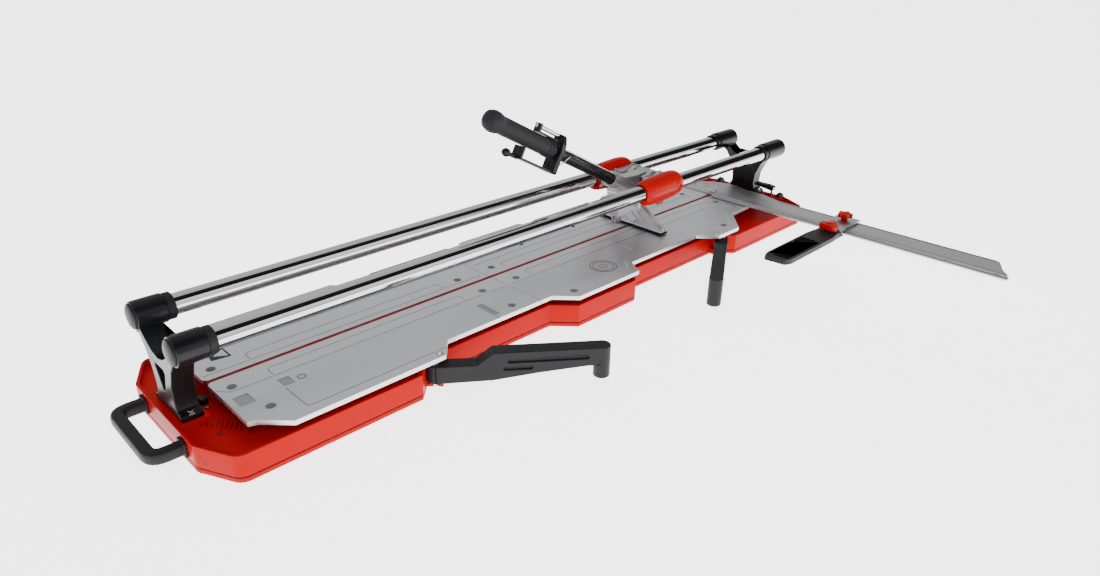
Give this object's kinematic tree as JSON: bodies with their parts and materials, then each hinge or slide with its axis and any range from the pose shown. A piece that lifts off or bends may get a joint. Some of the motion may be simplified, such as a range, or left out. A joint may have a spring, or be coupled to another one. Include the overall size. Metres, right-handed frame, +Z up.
{
  "type": "manual tile cutter",
  "caption": "Long manual tile cutter: red tray base, sprung zinc tables, chrome guide rails, sliding scoring carriage with lever, angled ruler fence and fold-out side arms.",
  "frame": {"origin": "centre of the base's footprint on the floor", "axes": "+X along the rails towards the ruler, +Y to the rear, +Z up"},
  "size_m": [1.9303, 1.054, 0.4687],
  "materials": {
    "red_paint": "gloss red paint",
    "red_strip": "matte",
    "red_plastic": "gloss",
    "black_cast": "gloss black paint",
    "black_plastic": "matte",
    "black_rubber": "matte",
    "zinc_table": "satin, fine grooves",
    "chrome": "polished",
    "aluminium": "satin",
    "cast_aluminium": "cast",
    "hard_metal": "ground",
    "bronze": "satin",
    "steel": "satin"
  },
  "bodies": {
    "frame": {"base_tray": "red_paint", "foot_pad_left": "black_rubber", "foot_pad_middle": "black_rubber", "foot_pad_right": "black_rubber", "breaker_strip": "red_strip", "support_left": "black_cast", "support_right": "black_cast", "rail_front": "chrome", "rail_rear": "chrome", "rail_collar_front": "black_plastic", "rail_collar_rear": "black_plastic", "end_cap_front": "black_plastic", "end_cap_rear": "black_plastic", "carry_handle": "black_plastic", "wheel_axle_front": "steel", "wheel_axle_rear": "steel", "fence_base": "aluminium", "fence_bolt": "steel", "lock_bolt": "chrome", "arm_pin_front_left": "steel", "arm_pin_front_right": "steel", "arm_pin_rear_left": "steel", "arm_pin_rear_right": "steel"},
    "table_front_left": {"table_front_left": "zinc_table", "buffer_front_left": "black_rubber"},
    "table_front_right": {"table_front_right": "zinc_table", "buffer_front_right": "black_rubber"},
    "table_rear_left": {"table_rear_left": "zinc_table", "buffer_rear_left": "black_rubber"},
    "table_rear_right": {"table_rear_right": "zinc_table", "buffer_rear_right": "black_rubber"},
    "side_arm_front_left": {"side_arm_front_left": "black_plastic"},
    "side_arm_front_right": {"side_arm_front_right": "black_plastic"},
    "side_arm_rear_left": {"side_arm_rear_left": "black_plastic"},
    "side_arm_rear_right": {"side_arm_rear_right": "black_plastic"},
    "wheel_front": {"wheel_front": "black_plastic"},
    "wheel_rear": {"wheel_rear": "black_plastic"},
    "ruler": {"ruler": "aluminium"},
    "sliding_stop": {"sliding_stop": "aluminium"},
    "slider_knob": {"slider_knob": "red_plastic"},
    "stop_arm": {"stop_arm": "black_plastic"},
    "arm_knob": {"arm_knob": "red_plastic"},
    "lock_lever": {"lock_lever": "black_plastic"},
    "carriage": {"carriage_body": "cast_aluminium", "slide_bush_front": "bronze", "slide_bush_rear": "bronze", "carriage_cap_front": "red_plastic", "carriage_cap_rear": "red_plastic", "lever_pin": "steel"},
    "lever": {"lever_root": "cast_aluminium", "lever_tube": "black_cast", "lever_grip": "black_rubber", "lever_bracket": "black_cast", "bracket_pin": "chrome", "wire_clip": "chrome", "wheel_holder": "chrome", "foot_pin": "steel"},
    "scoring_wheel": {"scoring_wheel": "hard_metal"},
    "breaker": {"breaker_foot": "cast_aluminium", "breaker_pad": "black_rubber"}
  },
  "joints": [
    {"name": "carriage_slide", "type": "slide", "parent": "frame", "child": "carriage", "axis": [1, 0, 0], "range_m": [-1.09, 0.3]},
    {"name": "lever_tilt", "type": "hinge", "parent": "carriage", "child": "lever", "pos_m": [0.362, 0, 0.216], "axis": [0, 1, 0], "range_deg": [0, 42]},
    {"name": "scoring_wheel_spin", "type": "hinge", "parent": "lever", "child": "scoring_wheel", "pos_m": [0.262, 0, 0.112], "axis": [0, 1, 0], "continuous": true},
    {"name": "breaker_swing", "type": "hinge", "parent": "lever", "child": "breaker", "pos_m": [0.33, 0, 0.15], "axis": [0, 1, 0], "range_deg": [-8, 8]},
    {"name": "table_spring_front_left", "type": "slide", "parent": "frame", "child": "table_front_left", "axis": [0, 0, 1], "range_m": [-0.003, 0], "stiffness_N_per_m": 8000, "springref_m": 0.004},
    {"name": "table_spring_front_right", "type": "slide", "parent": "frame", "child": "table_front_right", "axis": [0, 0, 1], "range_m": [-0.003, 0], "stiffness_N_per_m": 8000, "springref_m": 0.004},
    {"name": "table_spring_rear_left", "type": "slide", "parent": "frame", "child": "table_rear_left", "axis": [0, 0, 1], "range_m": [-0.003, 0], "stiffness_N_per_m": 8000, "springref_m": 0.004},
    {"name": "table_spring_rear_right", "type": "slide", "parent": "frame", "child": "table_rear_right", "axis": [0, 0, 1], "range_m": [-0.003, 0], "stiffness_N_per_m": 8000, "springref_m": 0.004},
    {"name": "side_arm_swing_front_left", "type": "hinge", "parent": "frame", "child": "side_arm_front_left", "pos_m": [-0.485, -0.19, 0.04], "axis": [0, 0, 1], "range_deg": [-50, 37]},
    {"name": "side_arm_swing_front_right", "type": "hinge", "parent": "frame", "child": "side_arm_front_right", "pos_m": [0.485, -0.19, 0.04], "axis": [0, 0, 1], "range_deg": [-31, 58]},
    {"name": "side_arm_swing_rear_left", "type": "hinge", "parent": "frame", "child": "side_arm_rear_left", "pos_m": [-0.485, 0.19, 0.04], "axis": [0, 0, 1], "range_deg": [0, 88]},
    {"name": "side_arm_swing_rear_right", "type": "hinge", "parent": "frame", "child": "side_arm_rear_right", "pos_m": [0.485, 0.19, 0.04], "axis": [0, 0, 1], "range_deg": [-88, 0]},
    {"name": "wheel_spin_front", "type": "hinge", "parent": "frame", "child": "wheel_front", "pos_m": [0.92, -0.11, 0.046], "axis": [0, 1, 0], "continuous": true},
    {"name": "wheel_spin_rear", "type": "hinge", "parent": "frame", "child": "wheel_rear", "pos_m": [0.92, 0.11, 0.046], "axis": [0, 1, 0], "continuous": true},
    {"name": "ruler_swing", "type": "hinge", "parent": "frame", "child": "ruler", "pos_m": [0.71, 0, 0.0873], "axis": [0, 0, 1], "range_deg": [-45, 0]},
    {"name": "stop_slide", "type": "slide", "parent": "ruler", "child": "sliding_stop", "axis": [0, -1, 0], "range_m": [-0.15, 0.38]},
    {"name": "slider_knob_turn", "type": "hinge", "parent": "sliding_stop", "child": "slider_knob", "pos_m": [0.752, -0.402, 0.1], "axis": [0, 0, 1], "continuous": true},
    {"name": "stop_arm_swing", "type": "hinge", "parent": "sliding_stop", "child": "stop_arm", "pos_m": [0.64, -0.415, 0.095], "axis": [0, 0, 1], "range_deg": [0, 90]},
    {"name": "arm_knob_turn", "type": "hinge", "parent": "sliding_stop", "child": "arm_knob", "pos_m": [0.64, -0.415, 0.11], "axis": [0, 0, 1], "continuous": true},
    {"name": "lock_lever_tilt", "type": "hinge", "parent": "frame", "child": "lock_lever", "pos_m": [0.875, -0.106, 0.092], "axis": [1, 0, 0], "range_deg": [0, 100]}
  ]
}
